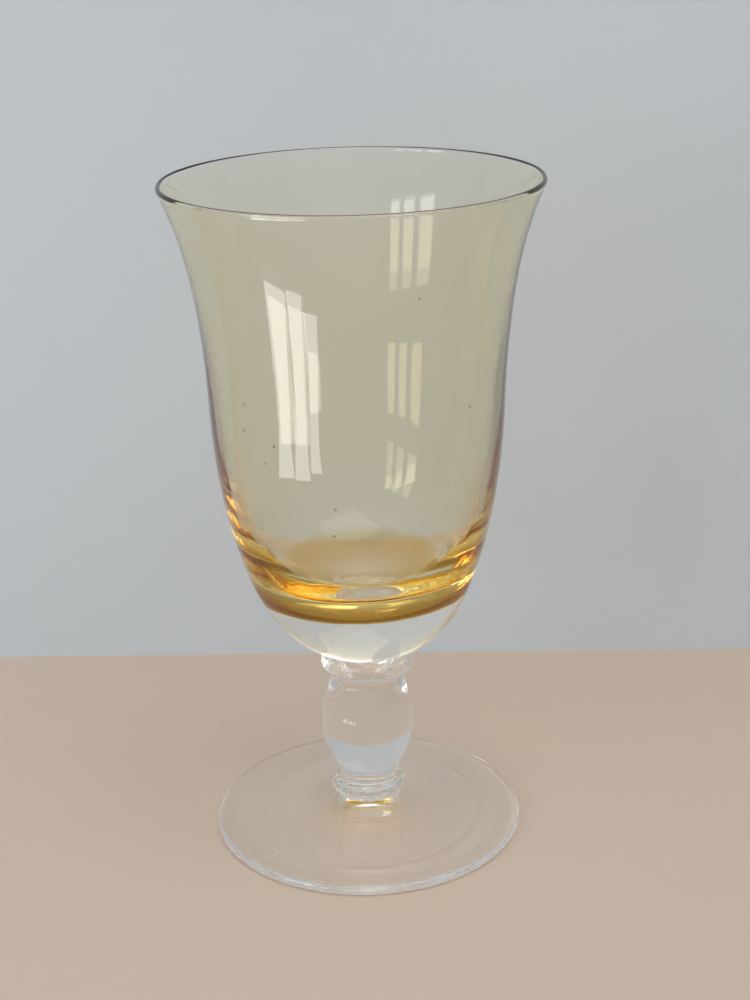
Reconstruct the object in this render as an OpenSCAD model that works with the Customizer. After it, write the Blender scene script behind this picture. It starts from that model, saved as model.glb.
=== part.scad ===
// Water goblet: a cased bell-shaped bowl on a short knopped stem and a round foot.
// All sizes are in millimetres. The origin is the centre of the foot's underside, with +Z up.
// Every piece is a body of revolution about Z. Heights that a section gives are measured from the
// underside of that section's own piece.

/* [Foot] */
// Diameter of the foot disc
foot_d = 85; // [78:1:95]
// Thickness of the foot at its rounded edge
foot_edge_t = 2.7; // [2:0.1:3.6]
// Height of the flat land in the middle of the foot, where the button sits
foot_land_h = 8.8; // [7.6:0.2:11]
// Slope of the foot's top just below that land, in degrees from level
foot_land_slope = 22; // [16:1:40]
// Diameter of the soft step on top of the foot
foot_step_d = 62; // [54:1:66]
// Height of the top surface just outside the step
foot_step_low_h = 3.4; // [3:0.1:3.9]
// Rise of the top surface over the step
foot_step_rise = 0.5; // [0.2:0.05:1.2]
// Width of the step, measured along the radius
foot_step_w = 3; // [1.5:0.5:5]
// Width of the flat ring that the foot stands on
foot_ring_w = 5; // [3:0.5:8]
// Depth of the hollow under the foot
foot_hollow_h = 4; // [2:0.2:4.6]

/* [Button] */
// Diameter of the flattened button that joins the stem to the foot
button_d = 20.8; // [18:0.2:24]
// Height of the button
button_h = 4; // [2.6:0.2:6]

/* [Stem] */
// Height of the stem knop, from the button to the collar
stem_h = 34; // [30:0.5:42]
// Diameter of the stem where it stands on the button
stem_foot_d = 15.8; // [13:0.2:17]
// Diameter of the knop at its widest
knop_d = 25.7; // [22:0.1:30]
// Height of the widest point of the knop
knop_h = 17.2; // [14:0.2:20]
// Diameter of the narrow neck above the knop
neck_d = 19.8; // [16:0.2:21]
// Diameter of the thin lip at the top of the stem
lip_d = 21.4; // [21.2:0.1:24]
// Thickness of that lip
lip_t = 0.9; // [0.6:0.1:1.4]

/* [Collar] */
// Thickness of the collar on the axis, under the bowl
collar_t = 4; // [3:0.2:6]
// Diameter of the collar at its widest
collar_d = 25.4; // [24:0.2:30]
// Height of the collar's widest point
collar_wide_h = 1.5; // [1:0.1:2.5]
// Diameter over which the collar is fused to the bowl
collar_seat_d = 19; // [16:0.2:21]

/* [Bowl] */
// Height of the bowl, from its round underside to the rim
bowl_h = 129.2; // [115:0.2:145]
// Diameter of the bowl at the rim
rim_d = 97; // [90:1:106]
// Diameter of the bowl at its waist, below the flared rim
waist_d = 77.4; // [72:0.2:84]
// Height of the waist
waist_h = 77.2; // [70:0.2:88]
// Slope of the wall at the waist, in degrees from level
waist_slope = 87; // [84:1:90]
// Diameter of the bowl where its round base becomes the wall
base_d = 66.2; // [62:0.2:71]
// Height of that point
base_h = 32.8; // [28:0.2:38]
// Slope of the wall there, in degrees from level
base_slope = 75; // [70:1:80]
// Slope of the wall at the rim, in degrees from level
rim_slope = 66; // [60:1:75]

/* [Glass layers] */
// Thickness of the wall at the rim, both layers together
rim_t = 1.3; // [1:0.1:2]
// Thickness of the wall low down, where the cavity starts to round in
wall_low_t = 3.7; // [2.5:0.1:5]
// Height at which the cavity starts to round in towards its floor
cavity_joint_h = 46; // [42:0.5:52]
// Thickness of the glass under the middle of the cavity, both layers together
floor_t = 19.2; // [15:0.2:22]
// Height up to which the amber gather pools around the cavity's floor
pool_h = 25.6; // [24:0.2:29]

/* [Hidden] */

// Number of straight runs that stand for one smooth curve of an outline
runs = 20;
// Number of facets of a full turn, where a turn is drawn with facets
turn_facets = 128;

// Share of the rim's thickness that is amber
amber_share = 0.5;
// How quickly the wall thickens downwards: 1 is steady, and higher keeps the upper wall thin
thickening = 2.2;
// Handles of the cavity's round floor, as shares of its radius and of its height
cavity_floor_handle_share = 0.36;
cavity_side_handle_share = 0.98;
// Handles of the amber pool's underside, as a share of its radius and of its height
pool_handle_share = 0.78;
// Handles of the collar's round top, as a share of its width and of its height
collar_handle_share = 0.55;
// Handles of the bowl's outline, as shares: of the base's radius, of the base's height,
// of the rise from base to waist twice, and of the rise from waist to rim twice
base_handle_share = 0.68;
base_top_handle_share = 0.47;
wall_foot_handle_share = 0.47;
wall_top_handle_share = 0.21;
flare_foot_handle_share = 0.42;
flare_top_handle_share = 0.31;
// Handles of the stem's outline, as shares of the heights below and above the knop's widest point
knop_foot_handle_share = 0.21;
knop_low_handle_share = 0.38;
knop_high_handle_share = 0.37;
neck_handle_share = 0.16;
// Height of the narrowest point of the neck, as a share of the way from the knop to the lip
neck_share = 0.91;
// Handles of the foot's flare, as shares of the way from the step in to the land
flare_low_handle_share = 0.4;
flare_high_handle_share = 0.2;
// Rise of the flare at the step, as a share of the way in
flare_low_rise_share = 0.16;

// Heights of the seats between the pieces, from the surface that the goblet stands on
button_z = foot_land_h;
stem_z = button_z + button_h;
collar_z = stem_z + stem_h;
bowl_z = collar_z + collar_t;
rim_z = bowl_z + bowl_h;
cavity_joint_z = bowl_z + cavity_joint_h;
floor_z = bowl_z + floor_t;
pool_z = bowl_z + pool_h;

// Thickness of the amber layer on the wall and under the middle of the cavity
amber_t = amber_share * rim_t;

// Point on a cubic curve with end points a and d and handles b and c
function cubic(a, b, c, d, t) =
    pow(1 - t, 3) * a + 3 * pow(1 - t, 2) * t * b + 3 * (1 - t) * t * t * c + pow(t, 3) * d;

// Such a curve as a list of points, without its first point
function curve(a, b, c, d, steps = runs) = [for (i = [1 : steps]) cubic(a, b, c, d, i / steps)];

// Unit step along a slope, in degrees from level, and unit step from one point towards another
function along(slope) = [cos(slope), sin(slope)];
function towards(from, to) = (to - from) / norm(to - from);

// Arc about a centre, from one angle to another, with both ends
function arc(centre, radius, from, to) =
    [for (i = [0 : runs]) centre + radius * along(from + (to - from) * i / runs)];

// A list in the opposite order
function reversed(list) = [for (i = [len(list) - 1 : -1 : 0]) list[i]];

// Turns an outline of [radius, height] points into a solid
module turned(outline) {
    rotate_extrude($fn = turn_facets) polygon(outline);
}

// The rim is fire-polished to a half round, and the bowl is widest at that round's lower edge
lip_r = rim_t / 2;

// Outside of the bowl, from the middle of its underside to the rim
base_point = [base_d / 2, bowl_z + base_h];
waist_point = [waist_d / 2, bowl_z + waist_h];
rim_point = [rim_d / 2, rim_z - lip_r];
bowl_foot_point = [0, bowl_z];
flare_h = rim_point.y - waist_point.y;
bowl_outline = concat(
    [bowl_foot_point],
    curve(
        bowl_foot_point,
        bowl_foot_point + [base_handle_share * base_d / 2, 0],
        base_point - base_top_handle_share * base_h * along(base_slope),
        base_point
    ),
    curve(
        base_point,
        base_point + wall_foot_handle_share * (waist_h - base_h) * along(base_slope),
        waist_point - wall_top_handle_share * (waist_h - base_h) * along(waist_slope),
        waist_point
    ),
    curve(
        waist_point,
        waist_point + flare_foot_handle_share * flare_h * along(waist_slope),
        rim_point - flare_top_handle_share * flare_h * along(rim_slope),
        rim_point
    )
);

// Radius of the outside of the bowl at a height, and height of its underside at a radius
bowl_r_by_z = [for (p = bowl_outline) [p.y, p.x]];
function bowl_r(z) = lookup(z, bowl_r_by_z);
function bowl_underside_z(r) = lookup(r, [for (p = bowl_outline) if (p.y <= base_point.y) p]);

// Thickness of the wall at a height, both layers together
function wall_t(z) =
    rim_t + (wall_low_t - rim_t) * pow(max(0, rim_point.y - z) / (rim_point.y - cavity_joint_z), thickening);

// Inside of the wall, from the joint up to the rim, and the cavity, which rounds in below the joint
function side_z(i) = cavity_joint_z + (rim_point.y - cavity_joint_z) * i / (2 * runs);
side_outline = [for (i = [0 : 2 * runs]) [bowl_r(side_z(i)) - wall_t(side_z(i)), side_z(i)]];
floor_point = [0, floor_z];
joint_point = side_outline[0];
side_handle_l = cavity_side_handle_share * (joint_point.y - floor_z);
cavity_outline = concat(
    [floor_point],
    curve(
        floor_point,
        floor_point + [cavity_floor_handle_share * joint_point.x, 0],
        joint_point - side_handle_l * towards(joint_point, side_outline[1]),
        joint_point,
        2 * runs
    ),
    [for (i = [1 : 2 * runs]) side_outline[i]]
);

// Outside of the amber: it follows the cavity down to the pool, whose underside is nearly flat
lined_outline = [for (p = cavity_outline) if (p.y > pool_z) p + [amber_t, 0]];
pool_point = lined_outline[0];
pool_foot_point = floor_point - [0, amber_t];
amber_outline = concat(
    [pool_foot_point],
    curve(
        pool_foot_point,
        pool_foot_point + [pool_handle_share * pool_point.x, 0],
        pool_point - [0, pool_handle_share * (pool_point.y - pool_foot_point.y)],
        pool_point,
        2 * runs
    ),
    [for (i = [1 : len(lined_outline) - 1]) lined_outline[i]]
);

// The two quarters of the half round at the rim, which meet at its top, where the amber ends
lip_centre = rim_point - [lip_r, 0];
function lip_quarter(from) = arc(lip_centre, lip_r, from, from + 90);

// Foot: a disc that stands on a flat ring round a hollow, with a rounded edge and a soft step. It flares
// up to a land as wide as the flat of the button.
module foot_disc() {
    edge_r = foot_edge_t / 2;
    edge_centre = [foot_d / 2 - edge_r, edge_r];
    edge_top = edge_centre + [0, edge_r];
    step_outer = [(foot_step_d + foot_step_w) / 2, foot_step_low_h];
    step_inner = [(foot_step_d - foot_step_w) / 2, foot_step_low_h + foot_step_rise];
    land = [(button_d - button_h) / 2, foot_land_h];
    brim_reach = edge_top.x - step_outer.x;
    flare_reach = step_inner.x - land.x;
    ring_inner = [edge_centre.x - foot_ring_w, 0];
    color([0.86, 0.89, 0.91, 0.5])
    turned(concat(
        [[0, foot_hollow_h]],
        curve([0, foot_hollow_h], [ring_inner.x / 2, foot_hollow_h], [ring_inner.x * 2 / 3, 0], ring_inner),
        arc(edge_centre, edge_r, -90, 90),
        curve(edge_top, edge_top - [brim_reach / 3, 0], step_outer + [brim_reach / 3, 0], step_outer),
        curve(step_outer, step_outer - [foot_step_w / 2, 0], step_inner + [foot_step_w / 2, 0], step_inner),
        curve(
            step_inner,
            step_inner + flare_low_handle_share * flare_reach * [-1, flare_low_rise_share],
            land + flare_high_handle_share * flare_reach * [1, -tan(foot_land_slope)],
            land
        ),
        [[0, foot_land_h]]
    ));
}

// Button: a flattened bead of glass between the foot and the stem, with a round edge
module foot_button() {
    edge_r = button_h / 2;
    color([0.82, 0.86, 0.88, 0.6])
    turned(concat(
        [[0, button_z]],
        arc([button_d / 2 - edge_r, button_z + edge_r], edge_r, -90, 90),
        [[0, stem_z]]
    ));
}

// Stem: an inverted baluster knop with a narrow neck and a thin flared lip
module stem_knop() {
    foot_point = [stem_foot_d / 2, stem_z];
    knop_point = [knop_d / 2, stem_z + knop_h];
    lip_edge_r = lip_t / 2;
    lip_edge_centre = [lip_d / 2 - lip_edge_r, collar_z - lip_edge_r];
    lip_under = lip_edge_centre - [0, lip_edge_r];
    neck_rise = lip_under.y - knop_point.y;
    neck_point = [neck_d / 2, knop_point.y + neck_share * neck_rise];
    lip_rise = lip_under.y - neck_point.y;
    color([0.84, 0.87, 0.9, 0.55])
    turned(concat(
        [[0, stem_z], foot_point],
        curve(
            foot_point,
            foot_point + [0, knop_foot_handle_share * knop_h],
            knop_point - [0, knop_low_handle_share * knop_h],
            knop_point
        ),
        curve(
            knop_point,
            knop_point + [0, knop_high_handle_share * neck_rise],
            neck_point - [0, neck_handle_share * neck_rise],
            neck_point
        ),
        curve(
            neck_point,
            neck_point + [0, lip_rise / 2],
            lip_under - [(lip_under.x - neck_point.x) / 2, 0],
            lip_under
        ),
        arc(lip_edge_centre, lip_edge_r, -90, 90),
        [[0, collar_z]]
    ));
}

// Collar: a rounded bead of glass between the stem and the bowl, fused to the bowl's underside
module collar() {
    seat_point = [collar_seat_d / 2, bowl_underside_z(collar_seat_d / 2)];
    wide_point = [collar_d / 2, collar_z + collar_wide_h];
    under_point = [wide_point.x - collar_wide_h, collar_z];
    top_reach = wide_point - seat_point;
    color([0.8, 0.84, 0.87, 0.6])
    turned(concat(
        [[0, collar_z]],
        [under_point],
        curve(
            under_point,
            under_point + [collar_wide_h / 2, 0],
            wide_point - [0, collar_wide_h / 2],
            wide_point
        ),
        curve(
            wide_point,
            wide_point - [0, collar_handle_share * top_reach.y],
            seat_point + [collar_handle_share * top_reach.x, 0],
            seat_point
        ),
        reversed([for (p = bowl_outline) if (p.y < seat_point.y) p])
    ));
}

// Casing: the clear outer gather of the bowl, thick under the cavity
module bowl_casing() {
    color([0.85, 0.88, 0.9, 0.45])
    turned(concat(amber_outline, reversed(lip_quarter(0)), reversed(bowl_outline)));
}

// Lining: the amber inner gather, a thin skin on the wall that pools around the cavity's floor
module amber_lining() {
    color([0.86, 0.66, 0.2, 0.75])
    turned(concat(cavity_outline, reversed(lip_quarter(90)), reversed(amber_outline)));
}

foot_disc();
foot_button();
stem_knop();
collar();
bowl_casing();
amber_lining();
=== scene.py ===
import functools
import math

import bmesh
import bpy
from mathutils import Matrix, Vector, noise


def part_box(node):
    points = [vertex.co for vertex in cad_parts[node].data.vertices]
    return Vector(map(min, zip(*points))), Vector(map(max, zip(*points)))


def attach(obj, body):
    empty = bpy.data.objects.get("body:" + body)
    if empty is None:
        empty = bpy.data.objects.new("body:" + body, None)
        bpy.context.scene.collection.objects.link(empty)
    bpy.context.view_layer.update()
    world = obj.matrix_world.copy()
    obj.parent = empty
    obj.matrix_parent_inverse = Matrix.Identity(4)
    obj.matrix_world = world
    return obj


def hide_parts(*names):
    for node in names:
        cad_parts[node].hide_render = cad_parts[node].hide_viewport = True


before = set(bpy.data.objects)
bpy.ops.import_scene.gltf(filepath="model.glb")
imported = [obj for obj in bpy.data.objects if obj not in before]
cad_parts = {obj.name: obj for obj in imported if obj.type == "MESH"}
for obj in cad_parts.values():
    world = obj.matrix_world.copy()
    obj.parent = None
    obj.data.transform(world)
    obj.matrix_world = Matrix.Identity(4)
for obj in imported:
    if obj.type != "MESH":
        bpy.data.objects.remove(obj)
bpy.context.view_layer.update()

mm = 0.001


# The foot: a disc of clear glass, opened out from one gather while it was hot. It stands on a flat
# ring, its edge is fire-polished, and the board that pressed it left a soft step on top. The other
# pieces are fused on it one by one, and here each seam is parted by a gap too small to see.

foot_low, foot_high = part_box("foot_disc")
foot_radius = -foot_low.x
foot_edge = 2.7 * mm
foot_hollow = 4 * mm
foot_ring_width = 5 * mm
step_radius = 31 * mm
step_width = 3 * mm
step_low = 3.4 * mm
step_rise = 0.5 * mm
land_radius = 8.4 * mm
land_slope = math.radians(22)
flare_low_share = 0.4
flare_high_share = 0.2
flare_low_rise_share = 0.16
turns = 192
seed_turns, seed_steps = 16, 10
gap = 0.02 * mm
same_place = 0.0001 * mm
on_axis = 0.001 * mm
sharp_angle = math.radians(50)
glass_ior = 1.5
clear_tint = (0.995, 0.997, 0.997)


def cubic(a, b, c, d, t):
    return (1 - t) ** 3 * a + 3 * (1 - t) ** 2 * t * b + 3 * (1 - t) * t * t * c + t ** 3 * d


def curve(a, b, c, d, runs=32):
    a, b, c, d = Vector(a), Vector(b), Vector(c), Vector(d)
    return [cubic(a, b, c, d, i / runs) for i in range(runs + 1)]


def arc(centre, radius, start, end, runs=16):
    angles = [math.radians(start + (end - start) * i / runs) for i in range(runs + 1)]
    return [Vector(centre) + Vector((radius * math.cos(a), radius * math.sin(a))) for a in angles]


# Heights and how far the hand-made stem stands to the right of the axis there, in mm
lean_by_height = [(0, 0), (9, 0.3), (30, 0.36), (43, 0.55), (49, 0.85), (58, 0.6), (76, 0)]


def lean(height):
    """The lean at a height in metres, eased between the heights of the list."""
    for (low, low_shift), (high, high_shift) in zip(lean_by_height, lean_by_height[1:]):
        if low * mm <= height <= high * mm:
            share = (height / mm - low) / (high - low)
            return (low_shift + (high_shift - low_shift) * share * share * (3 - 2 * share)) * mm
    return 0


def join_rings(mesh_maker, low, high, material_number=0):
    """Faces between two rings of corners. Either ring can be one point on the axis."""
    count = max(len(low), len(high))
    for turn in range(count):
        after = (turn + 1) % count
        corners = [low[turn % len(low)], low[after % len(low)]]
        corners += [high[after % len(high)], high[turn % len(high)]]
        corners = list(dict.fromkeys(corners))
        if len(corners) > 2:
            face = mesh_maker.faces.new(corners)
            face.material_index = material_number
            face.smooth = True


def turned_piece(name, stretches, materials, wobble=None, extras=None):
    """Turns an outline about Z. stretches is a list of (material number, points), from axis to axis."""
    mesh_maker = bmesh.new()
    rings = []
    numbers = []
    last = None
    for number, points in stretches:
        for point in points:
            if last is not None and (point - last).length < same_place:
                continue
            if last is not None:
                numbers.append(number)
            last = point
            if point.x < on_axis:
                rings.append([mesh_maker.verts.new((lean(point.y), 0, point.y))])
                continue
            ring = []
            for turn in range(turns):
                angle = 2 * math.pi * turn / turns
                radius, height = wobble(point.x, point.y, angle) if wobble else (point.x, point.y)
                across = radius * math.cos(angle) + lean(height)
                ring.append(mesh_maker.verts.new((across, radius * math.sin(angle), height)))
            rings.append(ring)
    for low, high, number in zip(rings, rings[1:], numbers):
        join_rings(mesh_maker, low, high, number)
    bmesh.ops.recalc_face_normals(mesh_maker, faces=mesh_maker.faces)
    if extras:
        extras(mesh_maker)
    mesh = bpy.data.meshes.new(name)
    mesh_maker.to_mesh(mesh)
    mesh_maker.free()
    for material in materials:
        mesh.materials.append(material)
    mesh.set_sharp_from_angle(angle=sharp_angle)
    piece = bpy.data.objects.new(name, mesh)
    bpy.context.scene.collection.objects.link(piece)
    return piece


def seeds(places):
    """Adds the tiny bubbles that glassmakers call seeds, each a shell whose outside is its air.

    places lists each one's radius, degrees to the right of the front, height, width and tallness, in mm.
    """
    def add(mesh_maker):
        for radius, azimuth, height, width, tall in places:
            way = math.radians(azimuth)
            middle = Vector((radius * math.sin(way), -radius * math.cos(way), height)) * mm
            rings = []
            # From the top down, so that the faces look into the air
            for step in range(seed_steps + 1):
                polar = math.pi * step / seed_steps
                across, rise = width / 2 * mm * math.sin(polar), tall / 2 * mm * math.cos(polar)
                ring = []
                for turn in range(seed_turns if 0 < step < seed_steps else 1):
                    angle = 2 * math.pi * turn / seed_turns
                    corner = middle + Vector((across * math.cos(angle), across * math.sin(angle), rise))
                    ring.append(mesh_maker.verts.new(corner))
                rings.append(ring)
            for upper, lower in zip(rings, rings[1:]):
                join_rings(mesh_maker, upper, lower)
    return add


def glass_material(name, ior, tint=(1, 1, 1)):
    material = bpy.data.materials.new(name)
    material.use_nodes = True
    shader = material.node_tree.nodes["Principled BSDF"]
    shader.inputs["Base Color"].default_value = (*tint, 1)
    shader.inputs["Roughness"].default_value = 0
    shader.inputs["Transmission Weight"].default_value = 1
    shader.inputs["IOR"].default_value = ior
    return material


clear_glass = glass_material("clear_glass", glass_ior, clear_tint)
fused_seam = glass_material("fused_seam", 1.0)

edge_radius = foot_edge / 2
edge_centre = (foot_radius - edge_radius, edge_radius)
edge_top = Vector((edge_centre[0], foot_edge))
ring_in = Vector((edge_centre[0] - foot_ring_width, 0))
step_out = Vector((step_radius + step_width / 2, step_low))
step_in = Vector((step_radius - step_width / 2, step_low + step_rise))
land = Vector((land_radius, foot_high.z))
half_step = Vector((step_width / 2, 0))
third_brim = Vector(((edge_top.x - step_out.x) / 3, 0))
flare_reach = land.x - step_in.x
flare_low = step_in + flare_low_share * Vector((flare_reach, -flare_low_rise_share * flare_reach))
flare_high = land - flare_high_share * Vector((flare_reach, -flare_reach * math.tan(land_slope)))
foot_outline = [
    (0, curve((0, foot_hollow), (ring_in.x / 2, foot_hollow), (ring_in.x * 2 / 3, 0), ring_in)),
    (0, arc(edge_centre, edge_radius, -90, 90)),
    (0, curve(edge_top, edge_top - third_brim, step_out + third_brim, step_out)),
    (0, curve(step_out, step_out - half_step, step_in + half_step, step_in)),
    (0, curve(step_in, flare_low, flare_high, land)),
    (1, [land - Vector((0, gap)), Vector((0, foot_high.z - gap))]),
]
foot_seeds = seeds([
    (29.0, -81, 2.2, 0.5, 0.4), (27.3, -74, 2.6, 0.6, 0.5), (24.8, -44, 3.4, 0.7, 0.5),
    (29.5, -45, 2.4, 0.6, 0.4), (34.9, -44, 1.8, 0.6, 0.5), (15.3, 71, 5.2, 0.5, 0.4),
    (37.5, 52, 1.6, 0.6, 0.5), (22.0, 150, 4.2, 0.6, 0.5), (31.0, 118, 2.0, 0.4, 0.4),
    (33.5, -150, 1.8, 0.5, 0.4),
])
foot = turned_piece("foot", foot_outline, [clear_glass, fused_seam], extras=foot_seeds)
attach(foot, "root")
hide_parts("foot_disc")


# The button: a bead of clear glass that joins the stem to the foot. It was dropped on hot and
# flattened, and the jacks that pinched it left uneven dents round its edge.

button_low, button_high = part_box("foot_button")
stem_low, stem_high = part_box("stem_knop")
button_edge = (button_high.z - button_low.z) / 2
button_centre = (button_high.x - button_edge, button_low.z + button_edge)
stem_foot_radius = 7.9 * mm
button_outline = [
    (1, [Vector((0, button_low.z)), Vector((button_centre[0], button_low.z))]),
    (0, arc(button_centre, button_edge, -90, 90)),
    (0, [Vector((button_centre[0], button_high.z)), Vector((stem_foot_radius, button_high.z))]),
    (1, [Vector((stem_foot_radius, button_high.z - gap)), Vector((0, button_high.z - gap))]),
]
pinch_depth = 0.45 * mm
pinch_sag = 0.25 * mm


def fade(value, start, length):
    """Rises from 0 at start to 1 over a length."""
    return max(0, min(1, (value - start) / length))


def ripple(angle, pace, rise):
    """Smooth noise round a piece, faster with a higher pace. rise moves it on with the height."""
    return noise.noise(Vector((pace * math.cos(angle), pace * math.sin(angle), rise)))


def pinched(radius, height, angle):
    """The marks of the jacks, none where the button is fused."""
    free = fade(radius, stem_foot_radius + 0.2 * mm, 0.6 * mm) * fade(height, button_low.z, 0.7 * mm)
    mark = ripple(angle, 2.6, 2 + height / (1.6 * mm)) + 0.5 * ripple(angle, 7, height / (0.9 * mm))
    dent = pinch_depth * free * max(0, 0.45 + 0.7 * mark)
    height_share = (height - button_low.z) / (button_high.z - button_low.z)
    sag = pinch_sag * free * max(0, 0.4 + mark) * height_share
    return radius - dent, height - sag


button = turned_piece("button", button_outline, [clear_glass, fused_seam], pinched)
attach(button, "root")
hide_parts("foot_button")


# The stem: one solid gather of clear glass, shaped into an inverted baluster knop while it turned.
# Above the narrow neck it ends in a thin lip, to which the collar is fused.

knop = Vector((stem_high.x, stem_low.z + 17.2 * mm))
knop_height = knop.y - stem_low.z
neck_radius = 9.9 * mm
neck_share = 0.91
lip_radius = 10.7 * mm
lip_edge = 0.45 * mm
foot_handle_share = 0.21
knop_low_share = 0.38
knop_high_share = 0.37
neck_handle_share = 0.16
lip_centre = (lip_radius - lip_edge, stem_high.z - lip_edge)
lip_under = Vector((lip_centre[0], lip_centre[1] - lip_edge))
neck_rise = lip_under.y - knop.y
neck = Vector((neck_radius, knop.y + neck_share * neck_rise))
half_lip = Vector((lip_under.x - neck.x, lip_under.y - neck.y)) / 2
stem_foot = Vector((stem_foot_radius, stem_low.z))


def up(rise):
    return Vector((0, rise))


def out(reach):
    return Vector((reach, 0))


above_foot = stem_foot + up(foot_handle_share * knop_height)
under_knop = knop - up(knop_low_share * knop_height)
above_knop = knop + up(knop_high_share * neck_rise)
under_neck = neck - up(neck_handle_share * neck_rise)
stem_outline = [
    (1, [Vector((0, stem_low.z)), stem_foot]),
    (0, curve(stem_foot, above_foot, under_knop, knop)),
    (0, curve(knop, above_knop, under_neck, neck)),
    (0, curve(neck, neck + up(half_lip.y), lip_under - out(half_lip.x), lip_under)),
    (0, arc(lip_centre, lip_edge, -90, 90)),
    (1, [Vector((lip_centre[0], stem_high.z - gap)), Vector((0, stem_high.z - gap))]),
]
stem = turned_piece("stem", stem_outline, [clear_glass, fused_seam])
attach(stem, "root")
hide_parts("stem_knop")


# The bowl: clear glass cased over the amber, and blown out into a bell. It is thin at the
# fire-polished rim and thick under the cavity, and it keeps the faint cords and seeds of handwork.

bowl_low, bowl_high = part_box("bowl_casing")
rim_thickness = 1.3 * mm
rim_height = 1 * mm
wall_low = 3.7 * mm
cavity_joint = bowl_low.z + 46 * mm
floor_height = bowl_low.z + 19.2 * mm
thickening = 2.2
seat_radius = 9.5 * mm
base_slope, waist_slope, rim_slope = 75, 87, 66
underside_share = 0.68
base_share = 0.47
waist_low_share, waist_high_share = 0.21, 0.42
rim_share = 0.31
cavity_floor_share = 0.36
cavity_side_share = 0.98
bowl_foot = Vector((0, bowl_low.z))
base = Vector((33.1 * mm, bowl_low.z + 32.8 * mm))
waist = Vector((38.7 * mm, bowl_low.z + 77.2 * mm))
rim = Vector((-bowl_low.x, bowl_high.z - rim_height))


def along(slope):
    return Vector((math.cos(math.radians(slope)), math.sin(math.radians(slope))))


base_rise = base.y - bowl_low.z
wall_rise = waist.y - base.y
flare_rise = rim.y - waist.y
bowl_curve = (
    curve(
        bowl_foot,
        (underside_share * base.x, bowl_low.z),
        base - base_share * base_rise * along(base_slope),
        base,
        64,
    )
    + curve(
        base,
        base + base_share * wall_rise * along(base_slope),
        waist - waist_low_share * wall_rise * along(waist_slope),
        waist,
        48,
    )[1:]
    + curve(
        waist,
        waist + waist_high_share * flare_rise * along(waist_slope),
        rim - rim_share * flare_rise * along(rim_slope),
        rim,
        48,
    )[1:]
)


@functools.cache
def outside_radius(height):
    for low, high in zip(bowl_curve, bowl_curve[1:]):
        if low.y <= height <= high.y and high.y > low.y:
            return low.x + (high.x - low.x) * (height - low.y) / (high.y - low.y)
    return bowl_curve[-1].x


def underside_height(radius):
    for low, high in zip(bowl_curve, bowl_curve[1:]):
        if low.x <= radius <= high.x:
            return low.y + (high.y - low.y) * (radius - low.x) / (high.x - low.x)


def wall(height):
    """Thickness of the wall, both layers together."""
    down = max(0, (bowl_high.z - height) / (bowl_high.z - cavity_joint))
    return rim_thickness + (wall_low - rim_thickness) * down ** thickening


def layer(low, extra=0, runs=90):
    """Outline of a surface inside the wall, from the middle of its floor up to the rim."""
    joint = Vector((outside_radius(cavity_joint) - wall(cavity_joint) + extra, cavity_joint))
    above = cavity_joint + 1 * mm
    way = (Vector((outside_radius(above) - wall(above) + extra, above)) - joint).normalized()
    floor_end = Vector((cavity_floor_share * joint.x, low))
    points = curve((0, low), floor_end, joint - cavity_side_share * (joint.y - low) * way, joint, runs)
    for i in range(1, runs + 1):
        height = cavity_joint + (rim.y - cavity_joint) * i / runs
        points.append(Vector((outside_radius(height) - wall(height) + extra, height)))
    return points


seat = Vector((seat_radius, underside_height(seat_radius)))
rim_half = wall(rim.y) / 2
rim_top = [
    Vector((rim.x - rim_half + rim_half * math.cos(a), rim.y + rim_height * math.sin(a)))
    for a in (math.pi * i / 24 for i in range(25))
]
bowl_seat = [point for point in bowl_curve if point.x < seat_radius]
bowl_outline = [
    (1, bowl_seat + [seat]),
    (0, [seat] + [point for point in bowl_curve if point.x > seat_radius and point.y > seat.y]),
    (0, rim_top),
    (0, list(reversed(layer(floor_height)))),
]
swell_depth = 0.3 * mm
cord_depth = 0.06 * mm


def blown(radius, height, angle):
    """The unevenness of a wall blown by hand, with cords in its outside. None at the rim and the seat."""
    swell = ripple(angle, 1.6, height / (26 * mm)) + 0.4 * ripple(angle, 4, 7 + height / (34 * mm))
    outer_share = max(0, 1 - (outside_radius(height) - radius) / wall(height))
    cord = outer_share * (0.5 + 0.5 * ripple(angle, 11, 3 + height / (60 * mm)))
    dent = swell_depth * max(0, 0.5 + 0.5 * swell) + cord_depth * cord
    dent *= fade(height, bowl_low.z + 6 * mm, 10 * mm) * fade(bowl_high.z - height, 0, 40 * mm)
    return radius - dent * fade(radius, 0, 20 * mm), height


# Each seed's degrees to the right of the front, height, depth under the outside and width, in mm
bowl_seed_places = [
    (-45.9, 130.2, 0.9, 0.5), (-47.7, 123.2, 1.0, 0.5), (-32.7, 121.0, 0.8, 0.6),
    (-37.5, 116.0, 1.1, 0.5), (-9.5, 105.9, 1.0, 0.5), (-10.6, 98.4, 1.3, 0.6),
    (-59.0, 165.2, 0.4, 0.3), (37.1, 164.8, 0.4, 0.3), (45.7, 128.1, 0.9, 0.5),
    (152, 140.0, 0.8, 0.5), (-160, 112.0, 1.0, 0.6), (118, 90.0, 1.3, 0.5),
    (-118, 150.0, 0.55, 0.4), (84, 104.0, 1.0, 0.4),
]
seed_tallness = 1.4
bowl_seeds = seeds([
    (outside_radius(height * mm) / mm - depth, azimuth, height, width, seed_tallness * width)
    for azimuth, height, depth, width in bowl_seed_places
])
bowl = turned_piece("bowl", bowl_outline, [clear_glass, fused_seam], blown, bowl_seeds)
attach(bowl, "root")
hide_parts("bowl_casing")


# The collar: a rounded ring of clear glass between the stem and the bowl. It was wound on hot, and
# the jacks that squeezed it left small flats that glitter.

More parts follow.
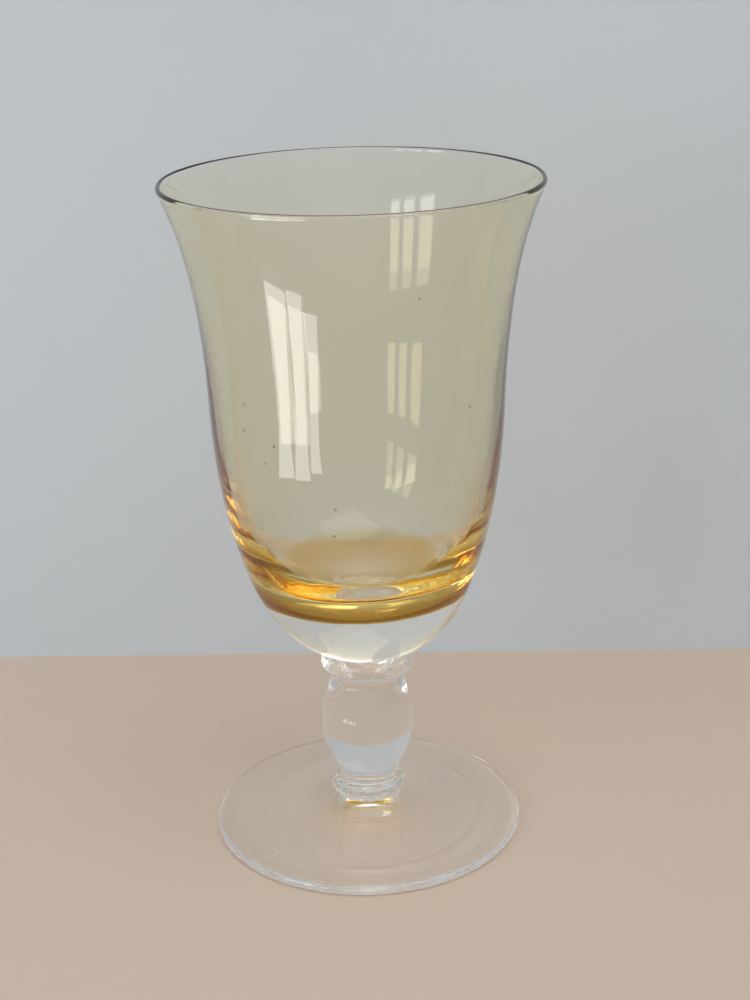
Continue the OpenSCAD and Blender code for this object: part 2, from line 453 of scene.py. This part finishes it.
collar_low, collar_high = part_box("collar")
collar_wide_height = 1.5 * mm
collar_share = 0.55
squeeze_depth = 0.15 * mm
collar_wide = Vector((collar_high.x, collar_low.z + collar_wide_height))
collar_under = Vector((collar_wide.x - collar_wide_height, collar_low.z))
lip_top = Vector((lip_centre[0], collar_low.z))
half_round = collar_wide_height / 2
collar_reach = collar_share * (collar_wide.x - seat.x)
collar_rise = collar_share * (seat.y - collar_wide.y)
collar_outline = [
    (1, [Vector((0, collar_low.z)), lip_top]),
    (0, [lip_top, collar_under]),
    (0, curve(collar_under, collar_under + out(half_round), collar_wide - up(half_round), collar_wide)),
    (0, curve(collar_wide, collar_wide + up(collar_rise), seat + out(collar_reach), seat)),
    (1, [point - up(gap) for point in [seat] + list(reversed(bowl_seat))]),
]


def squeezed(radius, height, angle):
    """The flats that the jacks left, none where the ring is fused."""
    mark = ripple(angle, 5, height / (2.2 * mm)) + 0.6 * ripple(angle, 11, height / (1.1 * mm))
    return radius - squeeze_depth * fade(radius, lip_centre[0], 0.5 * mm) * max(0, 0.3 + mark), height


collar = turned_piece("collar_ring", collar_outline, [clear_glass, fused_seam], squeezed)
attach(collar, "root")
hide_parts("collar")


# The lining: the amber gather that was blown first, under the clear one. It is a thin layer on the
# wall, pools round the cavity's floor, and lies here a hair under the cavity's polished skin.

skin = 0.03 * mm
amber_layer = 0.65 * mm
pool_top = bowl_low.z + 25.6 * mm
pool_share = 0.78
amber_colour = (0.85, 0.68, 0.0)
amber_density = 300


def sunk(points, amount):
    """A surface's outline moved along its normals, into the glass and away from the cavity."""
    moved = []
    for i, point in enumerate(points):
        before, after = points[max(i - 1, 0)], points[min(i + 1, len(points) - 1)]
        way = (after - before).normalized()
        shift = Vector((way.y, -way.x)) * amount
        moved.append(Vector((max(point.x + shift.x, 0) if i else 0, point.y + shift.y)))
    return moved


# The amber only dims the light: the clear glass round it bends it, so its own surface bends nothing
amber_glass = glass_material("amber_glass", 1.0)
amber_nodes = amber_glass.node_tree.nodes
absorption = amber_nodes.new("ShaderNodeVolumeAbsorption")
absorption.inputs["Color"].default_value = (*amber_colour, 1)
absorption.inputs["Density"].default_value = amber_density
amber_glass.node_tree.links.new(absorption.outputs[0], amber_nodes["Material Output"].inputs["Volume"])

inner = sunk(layer(floor_height), skin)
lined = [point for point in layer(floor_height, amber_layer) if point.y > pool_top]
pool_foot = Vector((0, floor_height - amber_layer))
pool_edge = lined[0]
pool_under = pool_foot + out(pool_share * pool_edge.x)
pool_side = pool_edge - up(pool_share * (pool_edge.y - pool_foot.y))
pool = curve(pool_foot, pool_under, pool_side, pool_edge, 60)
amber_outline = [(0, inner), (0, list(reversed(pool + lined[1:])))]
amber = turned_piece("amber", amber_outline, [amber_glass], blown)
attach(amber, "root")
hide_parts("amber_lining")


# The studio: a pale floor and a pale cool backdrop close behind, which can be seen through from
# its back. The backdrop stands on the floor and is turned a little, as the wall is in the photo.

floor_colour = (0.62, 0.50, 0.40)
backdrop_colour = (0.62, 0.68, 0.73)
paint_roughness = 0.6
studio_reach = 1.0
floor_front, floor_back = -2, 1
backdrop_place = 0.1056
backdrop_turn = -0.04
backdrop_height = 2


def paint(name, colour, clear_back=False):
    material = bpy.data.materials.new(name)
    material.use_nodes = True
    nodes = material.node_tree.nodes
    links = material.node_tree.links
    shader = nodes["Principled BSDF"]
    shader.inputs["Base Color"].default_value = (*colour, 1)
    shader.inputs["Roughness"].default_value = paint_roughness
    if clear_back:
        mix = nodes.new("ShaderNodeMixShader")
        clear = nodes.new("ShaderNodeBsdfTransparent")
        geometry = nodes.new("ShaderNodeNewGeometry")
        links.new(geometry.outputs["Backfacing"], mix.inputs[0])
        links.new(shader.outputs[0], mix.inputs[1])
        links.new(clear.outputs[0], mix.inputs[2])
        links.new(mix.outputs[0], nodes["Material Output"].inputs["Surface"])
    return material


def sheet(name, corners, material):
    mesh = bpy.data.meshes.new(name)
    mesh.from_pydata(corners, [], [tuple(range(len(corners)))])
    mesh.materials.append(material)
    piece = bpy.data.objects.new(name, mesh)
    bpy.context.scene.collection.objects.link(piece)


left_end = (-studio_reach, backdrop_place - backdrop_turn * studio_reach)
right_end = (studio_reach, backdrop_place + backdrop_turn * studio_reach)
floor_edges = [
    (-studio_reach, floor_front), (studio_reach, floor_front),
    (studio_reach, floor_back), (-studio_reach, floor_back),
]
sheet("floor", [(*corner, -gap) for corner in floor_edges], paint("floor_paint", floor_colour))
sheet(
    "backdrop",
    [(*left_end, 0), (*right_end, 0), (*right_end, backdrop_height), (*left_end, backdrop_height)],
    paint("backdrop_paint", backdrop_colour, True),
)


# The light: a soft grey room, brighter on the camera's side and overhead, a panel above, and three
# panes of a window on the left. Each pane has a card on the floor, which the bowl's front reflects.

# Grey of the room along the horizon, by the share of the way round: left, camera, right, behind
greys = [(0, 0.4), (0.12, 0.6), (0.27, 0.6), (0.36, 0.4), (0.42, 0.35), (0.47, 0.35), (0.55, 0.4), (1, 0.4)]
blue_share = 1.03
overhead_colour = (0.72, 0.74, 0.77)
world = bpy.data.worlds.new("room")
world.use_nodes = True
world_nodes = world.node_tree.nodes
world_links = world.node_tree.links
direction = world_nodes.new("ShaderNodeTexCoord")
parts = world_nodes.new("ShaderNodeSeparateXYZ")
way_round = world_nodes.new("ShaderNodeTexGradient")
way_round.gradient_type = "RADIAL"
horizon = world_nodes.new("ShaderNodeValToRGB")
stops = horizon.color_ramp.elements
stops.remove(stops[-1])
for number, (position, grey) in enumerate(greys):
    stop = stops.new(position) if number else stops[0]
    stop.color = (grey, grey, blue_share * grey, 1)
rise = world_nodes.new("ShaderNodeMapRange")
rise.inputs["From Min"].default_value = 0.1
rise.inputs["From Max"].default_value = 0.75
room = world_nodes.new("ShaderNodeMix")
room.data_type = "RGBA"
room.inputs["B"].default_value = (*overhead_colour, 1)
world_links.new(direction.outputs["Generated"], parts.inputs[0])
world_links.new(direction.outputs["Generated"], way_round.inputs[0])
world_links.new(way_round.outputs["Fac"], horizon.inputs[0])
world_links.new(parts.outputs["Z"], rise.inputs["Value"])
world_links.new(rise.outputs[0], room.inputs["Factor"])
world_links.new(horizon.outputs[0], room.inputs["A"])
world_links.new(room.outputs["Result"], world_nodes["Background"].inputs["Color"])
bpy.context.scene.world = world


def lamp(name, place, aim, width, height, radiance):
    data = bpy.data.lights.new(name, "AREA")
    data.shape = "RECTANGLE"
    data.size = width
    data.size_y = height
    data.energy = radiance * math.pi * width * height
    lamp_object = bpy.data.objects.new(name, data)
    lamp_object.location = place
    lamp_object.rotation_euler = (Vector(aim) - Vector(place)).to_track_quat("-Z", "Y").to_euler()
    lamp_object.visible_camera = False
    bpy.context.scene.collection.objects.link(lamp_object)
    return lamp_object


pane_distance = 0.62
pane_centre = 0.03
pane_low, pane_high = 0.13, 0.40
pane_radiance = 3
card_height = 0.004
card_far = 0.46
card_radiance = 5
# Name, degrees round to the right of the front, degrees of width, and the card's near end
panes = [("a", -31, 6, 0.262), ("b", -41.5, 8, 0.243), ("c", -55, 10.5, 0.247)]
for name, azimuth, span, card_near in panes:
    angle = math.radians(azimuth)
    half_width_share = math.tan(math.radians(span / 2))
    middle = (pane_low + pane_high) / 2
    place = (pane_distance * math.sin(angle), pane_centre - pane_distance * math.cos(angle), middle)
    pane_width = 2 * pane_distance * half_width_share
    lamp("window_" + name, place, (0, pane_centre, middle), pane_width, pane_high - pane_low, pane_radiance)
    card_length = card_far - card_near
    card_width = (card_near + card_far) * half_width_share
    card = lamp("low_" + name, (0, 0, card_height), (0, 0, 1), card_width, card_length, card_radiance)
    card.matrix_world = (
        Matrix.Rotation(angle, 4, "Z")
        @ Matrix.Translation((0, -card_near - card_length / 2, card_height))
        @ Matrix.Rotation(math.pi, 4, "X")
    )
    card.visible_diffuse = False
lamp("top_panel", (0.3, -0.35, 1.4), (0, 0, 0.1), width=1.2, height=1.0, radiance=1.5)


# The camera: it stands where the photo's stood and looks down as steeply. Both were worked out from
# the ellipses of the rim and the foot, and its lens is given in pixels of a picture 1000 high.

camera_place = (0, -0.43481, 0.25628)
camera_turn = math.radians(-0.521)
camera_look_down = math.radians(20.4)
camera_roll = math.radians(-1.397)
photo_height = 1000
focal_length_in_pixels = 1752.7
sensor_size = 36
camera_data = bpy.data.cameras.new("camera")
camera = bpy.data.objects.new("camera", camera_data)
bpy.context.scene.collection.objects.link(camera)
bpy.context.scene.camera = camera
camera_data.sensor_width = sensor_size
camera_data.lens = focal_length_in_pixels / photo_height * sensor_size
camera_data.clip_start = 0.01
camera.matrix_world = (
    Matrix.Translation(camera_place)
    @ Matrix.Rotation(camera_turn, 4, "Z")
    @ Matrix.Rotation(math.pi / 2 - camera_look_down, 4, "X")
    @ Matrix.Rotation(camera_roll, 4, "Z")
)

# Light is caught between the faces of so thick a base for hundreds of turns before it leaves
bounces = 500
scene = bpy.context.scene
scene.view_settings.view_transform = "Standard"
scene.cycles.sample_clamp_indirect = 0
scene.cycles.blur_glossy = 0
scene.cycles.max_bounces = bounces
scene.cycles.transmission_bounces = bounces
scene.cycles.glossy_bounces = bounces
scene.cycles.transparent_max_bounces = 32
